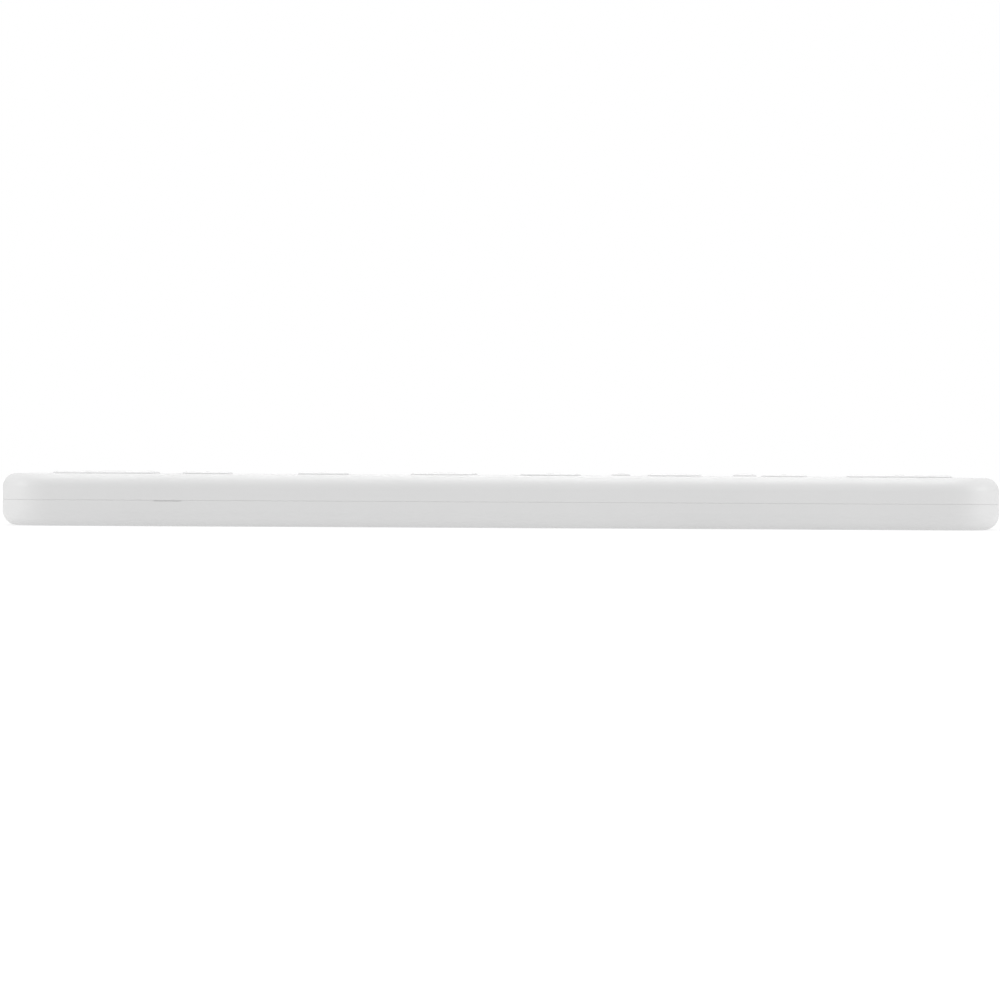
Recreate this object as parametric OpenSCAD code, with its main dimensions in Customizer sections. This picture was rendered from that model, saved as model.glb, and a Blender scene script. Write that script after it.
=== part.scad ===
// Six-inch electronic-paper reader with keys in its bezel, built as it comes apart on a bench.
// X runs across the reader, Y from its bottom end to its top end, Z from its back to its screen.
// The origin is the middle of the back, on the surface that the reader lies on.

/* [Case] */
// Width of the case, left side to right side
case_w = 120; // [120:0.5:124]
// Length of the case, bottom end to top end
case_l = 184; // [184:0.5:190]
// Thickness of the case without the keys
case_t = 9.6; // [9.5:0.1:10.4]
// Corner radius of the outline
corner_r = 10; // [8:0.5:11]
// Radius that rolls the front face into the sides
front_edge_r = 2.6; // [1.6:0.1:2.8]
// Radius that rolls the back into the sides
back_edge_r = 2.8; // [1.8:0.1:3.0]
// Height of the joint between the two covers above the back
seam_z = 4.75; // [4.6:0.05:4.9]
// Chamfer of each cover's edge where the two covers meet
seam_chamfer = 0.07; // [0.05:0.01:0.2]

/* [Screen] */
// Width of the window in the front cover
window_w = 92; // [90:0.5:93]
// Length of the window in the front cover
window_l = 124; // [122:0.5:125]
// Slope of the window's edge, measured across the face
window_bevel = 1.6; // [0.8:0.1:1.8]

/* [Keys] */
// Width of the keys in the side bezels
key_w = 4.4; // [4:0.1:4.6]
// How far a key stands proud of the front face
key_proud = 0.45; // [0.4:0.05:0.6]
// Gap around a key in its hole
key_gap = 0.15; // [0.1:0.05:0.2]
// Depth that a key is pressed
key_travel = 0.35; // [0.25:0.05:0.35]
// Outer radius of the ring of arrow keys
nav_r = 8; // [7.5:0.1:8.2]

/* [Hidden] */
$fn = 64;

// How far a cutter or a boss runs past the face that it meets
past = 1;
half_w = case_w / 2;
half_l = case_l / 2;

// Gap round a pin, a screw or a foot in its hole, and the bosses that take them
pin_clear = 0.05;
case_boss_r = 2.5;
tray_boss_r = 2.4;
pin_boss_r = 1.6;
stake_hole_r = 0.8;

// Walls of the two covers
wall = 1.8;
floor_t = 1.4;
roof_t = 1.5;
roof_z = case_t - roof_t;
// The rear cover's tongue stands inside the front cover's lip
lip_t = 0.75;
tongue_gap = 0.05;
tongue_t = 0.85;
tongue_h = 1.0;
// Snaps along each long side, as distances from the middle
snap_at = [-62, -22, 22, 62];
snap_len = 6;

// The screen stack hangs under a thinner roof: gasket, film, glass and the metal tray
window_y = 8.8;
pocket_z = case_t - 1.1;
gasket_t = 0.3;
film_t = 0.45;
glass_t = 0.7;
tray_t = 0.6;
film_top = pocket_z - gasket_t;
glass_top = film_top - film_t;
tray_top = glass_top - glass_t;
tray_low = tray_top - tray_t;
glass_w = 101.8;
glass_low_y = -62.8;
glass_high_y = 75.6;
glass_l = glass_high_y - glass_low_y;
glass_y = (glass_high_y + glass_low_y) / 2;

// Main board, below the tray
board_t = 1.0;
board_low = 3.0;
board_top = board_low + board_t;
board_edge_y = -half_l + 3;
can_h = 1.3;

// Keys: a cap through the cover, a flange under it, and a plunger above a snap dome
key_flange = 0.7;
flange_t = 0.6;
flange_gap = 0.1;
flange_top = roof_z - flange_gap;
flange_low = flange_top - flange_t;
dome_r = 2.0;
dome_h = 0.3;
dome_lip = 0.05;
dome_waist_r = 1.5;
dome_waist_h = 0.2;
dome_flat_r = 0.8;
key_board_t = 0.6;
plunger_gap = 0.1;
plunger_r = 1.2;
plunger_low = flange_low - 0.45;
dome_top = plunger_low - key_travel - plunger_gap;
key_board_top = dome_top - dome_h;
key_board_low = key_board_top - key_board_t;
key_corner = 1.2;

// Columns of keys in the side bezels; the lists run from the top end to the bottom end
key_x = half_w - 5.4;
right_key_at = [73.2, 52.1, 31.9, 9.1, -11.0, -32.6, -53.9, -72.8];
right_key_len = [19.4, 8.4, 10.0, 11.2, 11.2, 9.4, 9.3, 19.0];
left_key_at = [10.2, -10.2];
left_key_len = 10.9;
right_stakes = [-43.1, 0, 43.1];
right_board_l = 168.4;
left_stakes = [0, 34];
left_board_y = [-30, 55];
key_strip_w = 6.4;
sleep_button_y = 24.7;
sleep_button_r = 2.0;
text_button_y = 50.2;
text_button_r = 2.5;

// Arrow ring, select key, and the keys beside them, in the bottom bezel
nav_y = -74.4;
nav_inner_r = 3.9;
nav_split = 0.4;
select_r = 3.6;
nav_dome_r = 6.6;
nav_stake_x = 14;
nav_side_x = 22;
nav_side_key = [9, 4.4];
nav_board = [58, 18.7];

// Screws
case_screw_at = [46, half_l - 10.5];
case_screw_r = 0.9;
case_head_r = 1.9;
case_head_t = 1.2;
case_seat_z = 2.2;
foot_r = 4.0;
foot_t = 0.8;
tab_x = 38;
tab_ys = [-67, 80];
tab_w = 9;
small_screw_r = 0.65;
small_head_r = 1.5;
small_head_t = 0.6;
standoff_at = [[-48, -27], [48, -27], [-48, -54], [48, -54], [-12, -50]];

// Things in the bottom end
usb_x = 0;
usb_z = board_top + 1.45;
usb_size = [7.6, 5.6, 2.9];
jack_x = -34;
jack_z = 4.9;
jack_bore_r = 1.8;
jack_nose_r = 2.5;
jack_body = [6.2, 11.5, 4.8];
jack_depth = 13;
card_x = 26;
card_size = [11, 15, 1.0];
card_z = 4.75;
cage_wall = 0.15;
cage_size = [13.4, 14.4, 1.5];
reset_x = -12;
reset_z = 4.95;
reset_hole_r = 0.5;
led_x = 9.5;
led_z = 5.1;
led_r = 1.0;

// Power slider in the top end
slider_x = 22;
slider_z = seam_z;
slider_size = [9, 0.84, 2.6];
slider_travel = 3;
slider_recess = 1.0;
stem_size = [3, 1.4];
switch_size = [10, 4.6, 1.8];
switch_y = half_l - 8.2;
lever_size = [1.6, 3.6, 0.8];
lever_low = board_top + 0.35;
lever_clear = 0.1;
power_board_size = [24, 6, 0.8];

// Volume rocker in the left side
rocker_y = -45;
rocker_z = seam_z;
rocker_len = 16;
rocker_h = 2.5;
rocker_proud = 0.45;
rocker_pivot_x = -half_w + 3.1;
rocker_pin_r = 0.7;
rocker_pin_z = [2.3, 7.2];
rocker_peg_y = 6;
pin_hold = 0.5;

// Notch in the joint on the right side, where a pick opens the case
notch_y = -60.9;
notch_size = [0.18, 5, 0.2];

// Battery
battery_size = [66, 84, 4.2];
battery_y = 26;
battery_low = 2.2;

// ---- shared shapes ----

// A flat rectangle with round corners
module rounded_rect(w, l, r) {
    square([w - 2 * r, l], center = true);
    square([w, l - 2 * r], center = true);
    for (x = [-1, 1], y = [-1, 1])
        translate([x * (w / 2 - r), y * (l / 2 - r)])
            circle(r);
}

// A plate with round corners, standing on z
module plate(w, l, r, z, t) {
    translate([0, 0, z])
        linear_extrude(t)
            rounded_rect(w, l, r);
}

// A box given by its middle in plan, its low face and its size
module block(x, y, z, size) {
    translate([x - size[0] / 2, y - size[1] / 2, z])
        cube(size);
}

// Outline of the case, moved inward by an inset
module case_outline(inset) {
    rounded_rect(case_w - 2 * inset, case_l - 2 * inset, corner_r - inset);
}

// Half of a cover's section: a chamfer at the joint and a round edge at the face
module edge_section(run, h, r) {
    difference() {
        union() {
            square([run, h - r]);
            square([run - r, h]);
            translate([run - r, h - r])
                circle(r);
        }
        translate([run, 0])
            rotate(45)
                square(seam_chamfer * sqrt(2), center = true);
    }
}

// Section from edge to edge
module full_section(run, h, r) {
    for (side = [0, 1])
        mirror([side, 0])
            edge_section(run, h, r);
}

// Solid block of one cover, with its joint on z = 0 and its face at z = h
module cover_block(h, r) {
    rotate([90, 0, 0])
        linear_extrude(case_l - 2 * corner_r, center = true)
            full_section(half_w, h, r);
    rotate([90, 0, 90])
        linear_extrude(case_w - 2 * corner_r, center = true)
            full_section(half_l, h, r);
    for (turn = [0:3]) {
        x = (turn == 0 || turn == 3) ? 1 : -1;
        y = (turn < 2) ? 1 : -1;
        translate([x * (half_w - corner_r), y * (half_l - corner_r), 0])
            rotate(90 * turn)
                rotate_extrude(angle = 90)
                    edge_section(corner_r, h, r);
    }
}

// Places its children at the four case screws
module at_case_screws() {
    for (x = [-1, 1], y = [-1, 1])
        translate([x * case_screw_at[0], y * case_screw_at[1], 0])
            children();
}

// Places its children at the four tabs of the tray
module at_tabs() {
    for (x = [-tab_x, tab_x], y = tab_ys)
        translate([x, y, 0])
            children();
}

// Places its children at the board's standoffs
module at_standoffs() {
    for (p = standoff_at)
        translate([p[0], p[1], 0])
            children();
}

// Places its children at every snap dome
module at_domes() {
    for (y = right_key_at)
        translate([key_x, y, 0])
            children();
    for (y = concat(left_key_at, [sleep_button_y, text_button_y]))
        translate([-key_x, y, 0])
            children();
    for (x = [-nav_side_x, 0, nav_side_x])
        translate([x, nav_y, 0])
            children();
    for (turn = [0:3])
        translate([0, nav_y, 0])
            rotate(90 * turn)
                translate([nav_dome_r, 0, 0])
                    children();
}

// Screw with its head below, a cross recess in the head, and its tip at z = tip
module screw(seat, tip, r, head_r, head_t) {
    recess = head_r * 0.55;
    arm = head_r * 0.22;
    translate([0, 0, seat - head_t])
        difference() {
            cylinder(h = head_t, r = head_r);
            for (turn = [0, 90])
                rotate(turn)
                    block(0, 0, -past, [2 * recess, arm, past + head_t / 2]);
        }
    translate([0, 0, seat - head_t / 4])
        cylinder(h = tip - seat + head_t / 4, r = r);
}

// ---- holes that both covers share ----

// Openings in the bottom end
module bottom_end_holes() {
    usb_clear = 0.25;
    card_clear = [0.3, 0.3];
    translate([usb_x, -half_l, usb_z])
        rotate([90, 0, 0])
            linear_extrude(4 * wall, center = true)
                rounded_rect(usb_size[0] + 2 * usb_clear, usb_size[2] + 2 * usb_clear, 0.9);
    translate([card_x, -half_l, card_z])
        cube([card_size[0] + 2 * card_clear[0], 4 * wall, card_size[2] + 2 * card_clear[1]], center = true);
    translate([jack_x, -half_l, jack_z])
        rotate([90, 0, 0])
            cylinder(h = 4 * wall, r = jack_nose_r + tongue_gap, center = true);
    translate([reset_x, -half_l, reset_z])
        rotate([90, 0, 0])
            cylinder(h = 4 * wall, r = reset_hole_r, center = true);
    translate([led_x, -half_l, led_z])
        rotate([90, 0, 0])
            cylinder(h = 4 * wall, r = led_r + tongue_gap, center = true);
}

// Recess and slot of the power slider in the top end
module slider_holes() {
    side = 0.3;
    w = slider_size[0] + slider_travel + 2 * side;
    h = slider_size[2] + 2 * side;
    slot_w = stem_size[0] + slider_travel + 2 * side;
    slot_h = stem_size[1] + 2 * side;
    middle = slider_x + slider_travel / 2;
    translate([middle, half_l, slider_z])
        rotate([90, 0, 0])
            linear_extrude(2 * slider_recess, center = true)
                rounded_rect(w, h, 1.2);
    translate([middle, half_l - wall, slider_z])
        cube([slot_w, 2 * wall, slot_h], center = true);
}

// Hole of the volume rocker in the left side
module rocker_hole() {
    end_gap = 0.3;
    side_gap = 0.2;
    translate([-half_w, rocker_y, rocker_z])
        cube([4 * wall, rocker_len + 2 * end_gap, rocker_h + 2 * side_gap], center = true);
}

// Everything that passes through the joint between the covers
module wall_holes() {
    bottom_end_holes();
    slider_holes();
    rocker_hole();
}

// ---- covers ----

// Cutter of the screen's window, a straight land and then a slope to the face
module window_cutter() {
    land = 0.3;
    slope = window_bevel / (case_t - pocket_z - land);
    low = pocket_z - past;
    foot = pocket_z + land;
    high = case_t + past;
    spread = slope * (high - foot);
    intersection() {
        rotate([90, 0, 0])
            linear_extrude(case_l, center = true)
                window_section(window_w / 2, low, foot, high, spread);
        rotate([90, 0, 90])
            linear_extrude(case_w, center = true)
                window_section(window_l / 2, low, foot, high, spread);
    }
}

// Section of the window's cutter
module window_section(half, low, foot, high, spread) {
    polygon([[-half, low], [half, low], [half, foot], [half + spread, high],
             [-half - spread, high], [-half, foot]]);
}

// Holes for the keys in the front cover
module key_holes() {
    low = roof_z - past;
    h = roof_t + 2 * past;
    corner = key_corner + key_gap;
    for (i = [0:len(right_key_at) - 1])
        translate([key_x, right_key_at[i], 0])
            plate(key_w + 2 * key_gap, right_key_len[i] + 2 * key_gap, corner, low, h);
    for (y = left_key_at)
        translate([-key_x, y, 0])
            plate(key_w + 2 * key_gap, left_key_len + 2 * key_gap, corner, low, h);
    translate([-key_x, sleep_button_y, low])
        cylinder(h = h, r = sleep_button_r + key_gap);
    translate([-key_x, text_button_y, low])
        cylinder(h = h, r = text_button_r + key_gap);
    translate([0, nav_y, low])
        cylinder(h = h, r = nav_r + key_gap);
    for (s = [-1, 1])
        translate([s * nav_side_x, nav_y, 0])
            plate(nav_side_key[0] + 2 * key_gap, nav_side_key[1] + 2 * key_gap, corner, low, h);
}

// Heat stake that holds a key board: a shoulder, a pin, and the melted head under the board
module stake() {
    shoulder_r = 1.5;
    pin_r = 0.75;
    head_r = 1.3;
    head_t = 0.35;
    translate([0, 0, key_board_top])
        cylinder(h = roof_z + past / 2 - key_board_top, r = shoulder_r);
    translate([0, 0, key_board_low - head_t / 2])
        cylinder(h = key_board_t + head_t, r = pin_r);
    translate([0, 0, key_board_low - head_t])
        cylinder(h = head_t, r = head_r);
}

// Places its children at every heat stake
module at_stakes() {
    for (y = right_stakes)
        translate([key_x, y, 0])
            children();
    for (y = left_stakes)
        translate([-key_x, y, 0])
            children();
    for (s = [-1, 1])
        translate([s * nav_stake_x, nav_y, 0])
            children();
}

// Upper shell, with the window, the key holes and its bosses
module front_cover() {
    color("white")
        difference() {
            union() {
                difference() {
                    translate([0, 0, seam_z])
                        cover_block(case_t - seam_z, front_edge_r);
                    translate([0, 0, seam_z - past])
                        linear_extrude(roof_z - seam_z + past)
                            case_outline(wall);
                    translate([0, 0, seam_z - past])
                        linear_extrude(past + tongue_h + tongue_gap)
                            case_outline(lip_t);
                    block(0, glass_y, roof_z - past, [glass_w + 0.4, glass_l + 0.4, past + pocket_z - roof_z]);
                    for (side = [-1, 1], y = snap_at)
                        block(side * (half_w - lip_t), y, seam_z + 0.25, [0.8, snap_len + 0.6, 0.7]);
                }
                at_case_screws()
                    front_boss(seam_z, case_boss_r);
                at_tabs()
                    front_boss(tray_top, tray_boss_r);
                at_stakes()
                    stake();
                translate([rocker_pivot_x, rocker_y, 0])
                    front_boss(rocker_pin_z[1] - pin_hold, pin_boss_r);
            }
            translate([0, window_y, 0])
                window_cutter();
            key_holes();
            wall_holes();
            at_case_screws()
                pilot_hole(seam_z, case_screw_r + pin_clear, roof_z - 0.4);
            at_tabs()
                pilot_hole(tray_top, small_screw_r + pin_clear, roof_z - 0.2);
            translate([rocker_pivot_x, rocker_y, 0])
                pilot_hole(rocker_pin_z[1] - pin_hold, rocker_pin_r + pin_clear, rocker_pin_z[1] + 0.1);
        }
}

// Round boss from the roof down to z = low
module front_boss(low, r) {
    translate([0, 0, low])
        cylinder(h = roof_z + past / 2 - low, r = r);
}

// Hole up into a boss, from just below z = low to z = high
module pilot_hole(low, r, high) {
    translate([0, 0, low - past])
        cylinder(h = high - low + past, r = r);
}

// Lower shell, with its tongue, its screw bosses and the ribs around the battery
module rear_cover() {
    rib_t = 1.0;
    rib_h = 2.2;
    boss_r = 3.2;
    color("white")
        difference() {
            union() {
                difference() {
                    translate([0, 0, seam_z])
                        mirror([0, 0, 1])
                            cover_block(seam_z, back_edge_r);
                    translate([0, 0, floor_t])
                        linear_extrude(seam_z)
                            case_outline(wall);
                }
                translate([0, 0, seam_z - past / 2])
                    linear_extrude(past / 2 + tongue_h)
                        difference() {
                            case_outline(lip_t + tongue_gap);
                            case_outline(lip_t + tongue_gap + tongue_t);
                        }
                for (side = [-1, 1], y = snap_at)
                    block(side * (half_w - lip_t - 0.1), y, seam_z + 0.35, [0.6, snap_len, 0.5]);
                at_case_screws()
                    translate([0, 0, floor_t / 2])
                        cylinder(h = seam_z - floor_t / 2, r = boss_r);
                for (side = [-1, 1])
                    block(side * (battery_size[0] / 2 + rib_t), battery_y, floor_t / 2,
                          [rib_t, battery_size[1] - 8, floor_t / 2 + rib_h]);
                translate([rocker_pivot_x, rocker_y, floor_t / 2])
                    cylinder(h = rocker_pin_z[0] + pin_hold - floor_t / 2, r = pin_boss_r);
            }
            at_case_screws() {
                translate([0, 0, -past])
                    cylinder(h = past + foot_t, r = foot_r + pin_clear);
                translate([0, 0, -past])
                    cylinder(h = past + case_seat_z, r = case_head_r + 0.1);
                cylinder(h = seam_z + past, r = case_screw_r + 0.25);
            }
            translate([rocker_pivot_x, rocker_y, rocker_pin_z[0] - 0.1])
                cylinder(h = past, r = rocker_pin_r + pin_clear);
            wall_holes();
            block(half_w - notch_size[0] / 2 + past / 2, notch_y, seam_z - notch_size[2],
                  [notch_size[0] + past, notch_size[1], notch_size[2] + past]);
        }
}

// ---- screen and tray ----

// Foam ring between the screen and the front cover
module display_gasket() {
    ring = 1.4;
    color("dimgray")
        translate([0, window_y, film_top])
            linear_extrude(gasket_t)
                difference() {
                    square([window_w + 1 + 2 * ring, window_l + 1 + 2 * ring], center = true);
                    square([window_w + 1, window_l + 1], center = true);
                }
}

// Electronic-paper laminate, the pale sheet that shows in the window
module display_film() {
    border = 4.8;
    color("gainsboro")
        block(0, window_y, glass_top, [window_w + border, window_l + border, film_t]);
}

// Glass that carries the screen's transistors
module display_backplane() {
    color("slategray")
        block(0, glass_y, tray_top, [glass_w, glass_l, glass_t]);
}

// Ribbon that folds from the glass around the tray's edge to the main board
module display_flex() {
    t = 0.15;
    w = 32;
    start = glass_low_y + 1.6;
    out = glass_low_y - 0.95;
    end = glass_low_y + 3.6;
    top = glass_top + t;
    low = board_top + 0.5;
    color("peru")
        rotate([90, 0, 90])
            linear_extrude(w, center = true)
                polygon([[start, top], [out, top], [out, low], [end, low], [end, low + t],
                         [out + t, low + t], [out + t, glass_top], [start, glass_top]]);
}

// Metal tray under the screen, with tabs, side flanges, slots and the main board's standoffs
module chassis_tray() {
    edge = 0.6;
    flange_h = 1.5;
    slot = [14, 5];
    standoff_r = 2.2;
    plate_low = glass_low_y - 0.6;
    plate_l = glass_high_y + 0.6 - plate_low;
    color("silver")
        difference() {
            union() {
                block(0, plate_low + plate_l / 2, tray_low, [glass_w + 0.2, plate_l, tray_t]);
                at_tabs()
                    block(0, 0, tray_low, [tab_w, 9, tray_t]);
                for (side = [-1, 1])
                    block(side * (glass_w / 2 + 0.1 - edge / 2), 27, tray_low - flange_h,
                          [edge, 94, flange_h + tray_t]);
                at_standoffs()
                    translate([0, 0, board_top])
                        cylinder(h = tray_low + tray_t / 2 - board_top, r = standoff_r);
            }
            for (x = [-28, 0, 28], y = [-6, 28, 62])
                translate([x, y, 0])
                    plate(slot[0], slot[1], slot[1] / 2 - 0.01, tray_low - past, tray_t + 2 * past);
            at_standoffs()
                translate([0, 0, board_top - past])
                    cylinder(h = past + 1.9, r = small_screw_r + pin_clear);
            at_tabs()
                translate([0, 0, tray_low - past])
                    cylinder(h = tray_t + 2 * past, r = small_screw_r + 0.15);
        }
}

// ---- main board and what is on it ----

// Outline of the main board, wide under the screen and narrow between the case screws
module main_board_outline() {
    wide = [108, 36];
    narrow = [78, 32];
    translate([0, -40])
        square(wide, center = true);
    translate([0, board_edge_y + narrow[1] / 2])
        square(narrow, center = true);
}

// Main circuit board
module main_board() {
    notch = [jack_body[0] + 1, jack_body[1] + 1];
    color("darkgreen")
        translate([0, 0, board_low])
            linear_extrude(board_t)
                difference() {
                    main_board_outline();
                    translate([jack_x, board_edge_y + notch[1] / 2 - 0.5])
                        square([notch[0], notch[1] + 1], center = true);
                    at_standoffs()
                        circle(small_screw_r + 0.3);
                }
}

// Processor, under the board inside the shield can
module processor_chip() {
    color("black")
        block(-8, -38, board_low - 1.0, [12, 12, 1.0]);
}

// Memory, beside the processor
module memory_chip() {
    color("black")
        block(8, -38, board_low - 0.9, [10, 12, 0.9]);
}

// Pressed steel lid over the processor and the memory
module shield_can() {
    t = 0.2;
    size = [36, 20];
    color("silver")
        difference() {
            block(0, -38, board_low - can_h, [size[0], size[1], can_h]);
            block(0, -38, board_low - can_h + t, [size[0] - 2 * t, size[1] - 2 * t, can_h]);
        }
}

// Coils and capacitors of the power supply, under the board
module board_components() {
    coil = [4, 4, 1.2];
    chip = [1.6, 0.8, 0.8];
    color("dimgray") {
        for (y = [-29, -36, -43, -50])
            block(38, y, board_low - coil[2], coil);
        for (x = [25, 30], y = [-48:4:-28])
            block(x, y, board_low - chip[2], chip);
        for (x = [-40:5:-25], y = [-34, -40, -46])
            block(x, y, board_low - chip[2], chip);
    }
}

// Sockets on the board's upper side: screen ribbon, battery and power ribbon
module board_connectors() {
    h = 1.1;
    flex_slot = 0.25;
    color("ivory") {
        difference() {
            block(0, glass_low_y + 4.3, board_top, [34, 4, h]);
            block(0, glass_low_y + 2.9, board_top + 0.45, [32.4, 2, flex_slot]);
        }
        block(-22, -25.4, board_top, [7, 3.6, 1.8]);
        block(40, -26, board_top + 0.2, [6, 3, h]);
    }
}

// Connectors that stand between the main board and the three key boards
module board_links() {
    h = key_board_low - board_top;
    color("black") {
        block(half_w - 7.2, -33, board_top, [2, 8, h]);
        block(-half_w + 7.2, -26, board_top, [2, 5, h]);
        block(-24, -74, board_top, [6, 2, h]);
    }
}

// Pouch cell, with the folded seam and the taped protection board at its lower end
module battery_pack() {
    seam = [60, 3, 1.6];
    color("silver") {
        translate([0, battery_y, 0])
            plate(battery_size[0], battery_size[1], 2, battery_low, battery_size[2]);
        block(0, battery_y - battery_size[1] / 2 - seam[1] / 2 + 0.2, battery_low + 1.6, seam);
    }
}

// Three leads from the battery to its socket
module battery_wires() {
    r = 0.45;
    from = battery_y - battery_size[1] / 2 - 2.8;
    to = -23.6;
    color("red")
        for (x = [-24, -22, -20])
            translate([x, from, board_top + 0.9])
                rotate([90, 0, 0])
                    cylinder(h = from - to, r = r);
}

// ---- sockets and small parts at the bottom end ----

// Steel shell of the data and charging socket
module usb_shell() {
    t = 0.3;
    color("silver")
        translate([usb_x, -half_l + 0.6, usb_z])
            rotate([-90, 0, 0])
                linear_extrude(usb_size[1])
                    difference() {
                        rounded_rect(usb_size[0], usb_size[2], 0.7);
                        rounded_rect(usb_size[0] - 2 * t, usb_size[2] - 2 * t, 0.4);
                    }
}

// Insulator and contact blade inside the socket
module usb_tongue() {
    back_t = 1.4;
    inner = [usb_size[0] - 0.62, usb_size[2] - 0.62];
    blade = [4.4, 4.6, 0.6];
    back_y = -half_l + 0.6 + usb_size[1];
    color("black") {
        translate([usb_x, back_y, usb_z])
            rotate([90, 0, 0])
                linear_extrude(back_t)
                    rounded_rect(inner[0], inner[1], 0.4);
        block(usb_x, back_y - blade[1] / 2, usb_z + 0.1, blade);
    }
}

// Headphone socket: a block with a round nose, and a blind bore
module headphone_jack() {
    nose_l = 2.4;
    color("black")
        difference() {
            union() {
                block(jack_x, -half_l + wall + jack_body[1] / 2 + 0.2, jack_z - jack_body[2] / 2, jack_body);
                translate([jack_x, -half_l + 0.1, jack_z])
                    rotate([-90, 0, 0])
                        cylinder(h = nose_l, r = jack_nose_r);
            }
            translate([jack_x, -half_l, jack_z])
                rotate([-90, 0, 0])
                    cylinder(h = jack_depth, r = jack_bore_r);
        }
}

// Sheet-metal cage that the memory card slides into
module card_cage() {
    color("silver")
        difference() {
            block(card_x, -half_l + wall + 0.2 + cage_size[1] / 2, board_top, cage_size);
            block(card_x, -half_l + wall - 1 + cage_size[1] / 2, board_top + cage_wall,
                  [cage_size[0] - 6 * cage_wall, cage_size[1] + 1, cage_size[2] - 2 * cage_wall]);
        }
}

// Memory card, with the thicker grip along its outer end
module memory_card() {
    grip = [card_size[0], 1.6, 0.2];
    color("darkslategray") {
        block(card_x, -half_l + 0.4 + card_size[1] / 2, card_z - card_size[2] / 2,
              [card_size[0], card_size[1], card_size[2] - grip[2]]);
        block(card_x, -half_l + 0.4 + grip[1] / 2, card_z - card_size[2] / 2, [grip[0], grip[1], card_size[2]]);
    }
}

// Body of the reset switch
module reset_switch() {
    size = [4, 3, 1.9];
    color("black")
        difference() {
            block(reset_x, -half_l + 5.0, board_top, size);
            translate([reset_x, -half_l + 3, reset_z])
                rotate([-90, 0, 0])
                    cylinder(h = 1.6, r = 0.6);
        }
}

// Plunger of the reset switch, reached through the pinhole
module reset_plunger() {
    color("ivory")
        translate([reset_x, -half_l + 2.6, reset_z])
            rotate([-90, 0, 0])
                cylinder(h = 1.6, r = 0.5);
}

// Charge light, on the board behind the light pipe
module charge_led() {
    color("ivory")
        block(led_x, -half_l + 5.2, board_top, [1.8, 1.6, 1.5]);
}

// Clear pin that brings the charge light to the case's surface
module light_pipe() {
    color("whitesmoke")
        translate([led_x, -half_l + 0.1, led_z])
            rotate([-90, 0, 0]) {
                cylinder(h = 4.0, r = led_r);
                translate([0, 0, wall + 0.2])
                    cylinder(h = 0.6, r = led_r + 0.5);
            }
}

// ---- key boards and domes ----

// A strip of circuit board with holes for its stakes
module key_strip(x, y_low, y_high, stakes) {
    color("darkgreen")
        difference() {
            block(x, (y_low + y_high) / 2, key_board_low, [key_strip_w, y_high - y_low, key_board_t]);
            for (y = stakes)
                translate([x, y, key_board_low - past])
                    cylinder(h = key_board_t + 2 * past, r = stake_hole_r);
        }
}

// Board under the right column of keys
module right_key_board() {
    key_strip(key_x, -right_board_l / 2, right_board_l / 2, right_stakes);
}

// Board under the left column of keys
module left_key_board() {
    key_strip(-key_x, left_board_y[0], left_board_y[1], left_stakes);
}

// Board under the arrow ring
module nav_key_board() {
    color("darkgreen")
        difference() {
            block(0, nav_y - 0.25, key_board_low, [nav_board[0], nav_board[1], key_board_t]);
            for (s = [-1, 1])
                translate([s * nav_stake_x, nav_y, key_board_low - past])
                    cylinder(h = key_board_t + 2 * past, r = stake_hole_r);
        }
}

// Pressed metal dome under every key
module snap_domes() {
    rim = [[dome_r, 0], [dome_r, dome_lip]];
    crown = [[dome_waist_r, dome_waist_h], [dome_flat_r, dome_h], [0, dome_h]];
    color("gold")
        at_domes()
            translate([0, 0, key_board_top])
                rotate_extrude()
                    polygon(concat([[0, 0]], rim, crown));
}

// ---- power slider ----

// Small board behind the power slider
module power_board() {
    color("darkgreen")
        block(slider_x + 3, half_l - 8.8, board_top - power_board_size[2], power_board_size);
}

// Body of the slide switch, with a slot in its front for the lever
module power_switch() {
    slot = [lever_size[0] + slider_travel + 0.6, 4, lever_size[2] + 2 * lever_clear];
    middle = slider_x + slider_travel / 2;
    color("silver")
        difference() {
            block(middle, switch_y, board_top, switch_size);
            block(middle, switch_y + 2.3, lever_low - lever_clear, slot);
        }
}

// Lever of the slide switch
module power_switch_lever() {
    color("ivory")
        block(slider_x, switch_y + 2.5, lever_low, lever_size);
}

// Thumb piece in the top end, with the fork that carries the switch's lever
module power_slider() {
    plate_y = half_l - slider_recess + 0.1;
    stem_l = 4.9;
    fork = [lever_size[0] + 0.1, 3.6, 2 * past];
    ribs = 4;
    groove = [0.6, 0.5, 1.8];
    groove_step = 1.6;
    color("lightgray")
        difference() {
            union() {
                translate([slider_x, plate_y, slider_z])
                    rotate([-90, 0, 0])
                        linear_extrude(slider_size[1])
                            rounded_rect(slider_size[0], slider_size[2], 1.0);
                block(slider_x, plate_y + 0.3 - stem_l / 2, slider_z - stem_size[1] / 2,
                      [stem_size[0], stem_l, stem_size[1]]);
            }
            block(slider_x, switch_y + 2.6, slider_z - past, fork);
            for (i = [0:ribs - 1])
                block(slider_x + (i - (ribs - 1) / 2) * groove_step, plate_y + slider_size[1],
                      slider_z - groove[2] / 2, groove);
        }
}

// Ribbon from the power board down the side of the battery to the main board
module power_flex() {
    t = 0.15;
    w = 4;
    x = 40;
    low_y = -25;
    turn_y = half_l - 8.5;
    start_x = slider_x + 12;
    color("peru")
        translate([0, 0, board_top + 0.02])
            linear_extrude(t)
                polygon([[x - w / 2, low_y], [x + w / 2, low_y], [x + w / 2, turn_y + w], [start_x, turn_y + w],
                         [start_x, turn_y], [x - w / 2, turn_y]]);
}

// ---- volume rocker ----

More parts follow.
